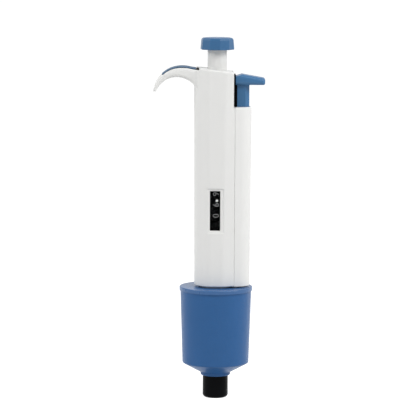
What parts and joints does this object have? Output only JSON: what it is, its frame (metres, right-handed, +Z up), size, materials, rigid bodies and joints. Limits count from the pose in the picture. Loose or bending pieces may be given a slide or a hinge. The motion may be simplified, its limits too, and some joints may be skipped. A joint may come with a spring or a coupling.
{
  "type": "single-channel pipette",
  "caption": "Mechanical air-displacement pipette with a finger hook, a dial push button, a number display, a tip ejector lever and a wide lower sleeve.",
  "frame": {"origin": "on the plunger axis, at the lower end of the tip cone's cylindrical land", "axes": "+Z up along the plunger axis towards the push button, +X towards the ejector lever, -Y towards the display"},
  "size_m": [0.07, 0.0458, 0.2275],
  "materials": {
    "white_plastic": "fine satin moulding",
    "stem_plastic": "satin moulding",
    "blue_plastic": "satin moulding",
    "blue_grip": "soft matt strip",
    "black_plastic": "smooth moulding",
    "wheel_black": "matt with white figures",
    "clear_window": "clear",
    "steel": "ground steel",
    "brass": "turned brass",
    "inner_plastic": "natural moulding",
    "seal_rubber": "matt rubber",
    "filter_fibre": "pressed fibre"
  },
  "bodies": {
    "handle": {"cone_gasket": "seal_rubber", "counter_drum": "black_plastic", "counter_frame": "black_plastic", "counter_spindle": "inner_plastic", "coupling_nut": "brass", "cylinder_cap": "inner_plastic", "ejector_cover": "white_plastic", "ejector_spring": "steel", "hook_pad": "blue_grip", "main_shell": "white_plastic", "pinion_shaft": "steel", "piston_cylinder": "inner_plastic", "primary_spring": "steel", "screw_retainer": "steel", "stem_guide": "stem_plastic", "tip_cone": "black_plastic", "tip_filter": "filter_fibre", "top_cap": "white_plastic", "window_lens": "clear_window"},
    "dial": {"volume_screw": "brass", "tenths_wheel": "wheel_black"},
    "plunger": {"push_button": "blue_plastic", "plunger_stem": "stem_plastic", "operating_rod": "steel", "spring_collar": "brass", "piston": "inner_plastic", "piston_seal": "seal_rubber", "seal_retainer": "inner_plastic"},
    "stop_nut": {"stop_nut": "brass", "blowout_spring": "steel"},
    "blowout_washer": {"blowout_washer": "steel"},
    "units_wheel": {"units_wheel": "wheel_black"},
    "tens_wheel": {"tens_wheel": "wheel_black"},
    "carry_pinion_high": {"carry_pinion_high": "inner_plastic"},
    "carry_pinion_low": {"carry_pinion_low": "inner_plastic"},
    "ejector": {"ejector_button": "blue_plastic", "stem_runner": "black_plastic", "ejector_rod": "steel", "ejector_sleeve": "blue_plastic", "sleeve_ring": "blue_plastic"}
  },
  "joints": [
    {"name": "dial_turn", "type": "hinge", "parent": "handle", "child": "dial", "pos_m": [0, 0, 0.14], "axis": [0, 0, 1], "range_deg": [-1764, 1116]},
    {"name": "plunger_press", "type": "slide", "parent": "dial", "child": "plunger", "axis": [0, 0, -1], "range_m": [0, 0.0112], "stiffness_N_per_m": 350, "springref_m": -0.012, "deforming": ["primary_spring"]},
    {"name": "nut_lift", "type": "slide", "parent": "handle", "child": "stop_nut", "axis": [0, 0, -1], "range_m": [-0.00475, 0.003]},
    {"name": "washer_yield", "type": "slide", "parent": "stop_nut", "child": "blowout_washer", "axis": [0, 0, -1], "range_m": [0, 0.0017], "deforming": ["blowout_spring"]},
    {"name": "units_turn", "type": "hinge", "parent": "handle", "child": "units_wheel", "pos_m": [0, 0, 0.1213], "axis": [0, 0, 1], "range_deg": [-177.4, 112.6]},
    {"name": "tens_turn", "type": "hinge", "parent": "handle", "child": "tens_wheel", "pos_m": [0, 0, 0.1145], "axis": [0, 0, 1], "range_deg": [-18.64, 12.16]},
    {"name": "pinion_high_turn", "type": "hinge", "parent": "handle", "child": "carry_pinion_high", "pos_m": [0.0122, 0.005, 0.1247], "axis": [0, 0, 1], "range_deg": [-280, 442]},
    {"name": "pinion_low_turn", "type": "hinge", "parent": "handle", "child": "carry_pinion_low", "pos_m": [0.0122, 0.005, 0.1179], "axis": [0, 0, 1], "range_deg": [-28.9, 45.1]},
    {"name": "ejector_press", "type": "slide", "parent": "handle", "child": "ejector", "axis": [0, 0, -1], "range_m": [0, 0.009], "stiffness_N_per_m": 300, "springref_m": -0.01, "deforming": ["ejector_spring"]}
  ],
  "couplings": [
    {"joint": "nut_lift", "follows": "dial_turn", "m_per_rad": 0.00015295},
    {"joint": "units_turn", "follows": "dial_turn", "ratio": 0.1},
    {"joint": "tens_turn", "follows": "dial_turn", "ratio": 0.01},
    {"joint": "pinion_high_turn", "follows": "dial_turn", "ratio": -0.25},
    {"joint": "pinion_low_turn", "follows": "dial_turn", "ratio": -0.025},
    {"joint": "washer_yield", "follows": "plunger_press", "ratio": 0.14286}
  ]
}
